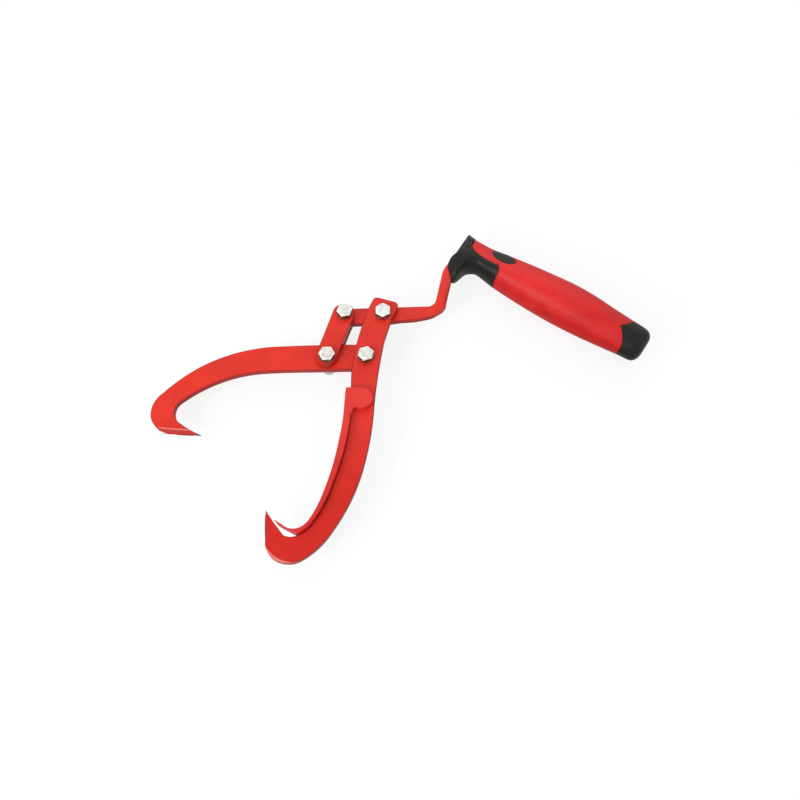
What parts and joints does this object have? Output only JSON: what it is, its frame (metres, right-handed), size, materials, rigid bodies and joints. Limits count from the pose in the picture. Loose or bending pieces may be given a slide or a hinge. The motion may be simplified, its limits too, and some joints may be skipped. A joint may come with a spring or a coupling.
{
  "type": "log tongs",
  "caption": "Hand-held log tongs: two hooked steel jaws on a four-bar linkage that close on a log when the moulded grip is lifted.",
  "frame": {"origin": "foot of the bolt that joins the two jaws, on the plane the tongs rest on", "axes": "+X towards the grip along the left jaw's straight arm, +Y from the jaw pivot towards the handle bar, +Z along the pivot bolts towards their heads"},
  "size_m": [0.3434, 0.2475, 0.0314],
  "materials": {
    "red_paint": "red gloss enamel on flat steel, thin and worn along the ground edges of the hooks",
    "black_plastic": "black moulded plastic, satin",
    "red_rubber": "red soft-touch moulding with a fine diamond pattern on its flanks",
    "zinc_plate": "bright zinc-plated steel",
    "nylon": "blue nylon"
  },
  "bodies": {
    "frame": {"long_jaw": "red_paint", "rub_strip": "red_paint", "handle_pivot_bolt": "zinc_plate", "jaw_pivot_bolt": "zinc_plate", "handle_pivot_washer": "zinc_plate", "jaw_pivot_washer": "zinc_plate", "handle_pivot_nut_washer": "zinc_plate", "jaw_pivot_nut_washer": "zinc_plate", "handle_pivot_nut": "zinc_plate", "jaw_pivot_nut": "zinc_plate", "handle_pivot_nut_insert": "nylon", "jaw_pivot_nut_insert": "nylon"},
    "handle": {"handle_rod": "red_paint", "grip_core": "black_plastic", "grip_sleeve": "red_rubber", "grip_badge": "black_plastic", "grip_end_cap": "black_plastic"},
    "hook": {"left_jaw": "red_paint"},
    "links": {"front_link": "red_paint", "rear_link": "red_paint", "handle_link_bolt": "zinc_plate", "jaw_link_bolt": "zinc_plate", "handle_link_washer": "zinc_plate", "jaw_link_washer": "zinc_plate", "handle_link_nut_washer": "zinc_plate", "jaw_link_nut_washer": "zinc_plate", "handle_link_nut": "zinc_plate", "jaw_link_nut": "zinc_plate", "handle_link_nut_insert": "nylon", "jaw_link_nut_insert": "nylon"}
  },
  "joints": [
    {"name": "handle_pivot", "type": "hinge", "parent": "frame", "child": "handle", "pos_m": [0.01133, 0.03406, 0.0157], "axis": [0, 0, 1], "range_deg": [-65, 30]},
    {"name": "jaw_pivot", "type": "hinge", "parent": "frame", "child": "hook", "pos_m": [0, 0, 0.0157], "axis": [0, 0, 1], "range_deg": [-65, 30]},
    {"name": "link_pivot", "type": "hinge", "parent": "handle", "child": "links", "pos_m": [-0.01547, 0.03406, 0.0157], "axis": [0, 0, 1], "range_deg": [-30, 65]}
  ],
  "couplings": [
    {"joint": "jaw_pivot", "follows": "handle_pivot", "ratio": 1},
    {"joint": "link_pivot", "follows": "handle_pivot", "ratio": -1}
  ]
}
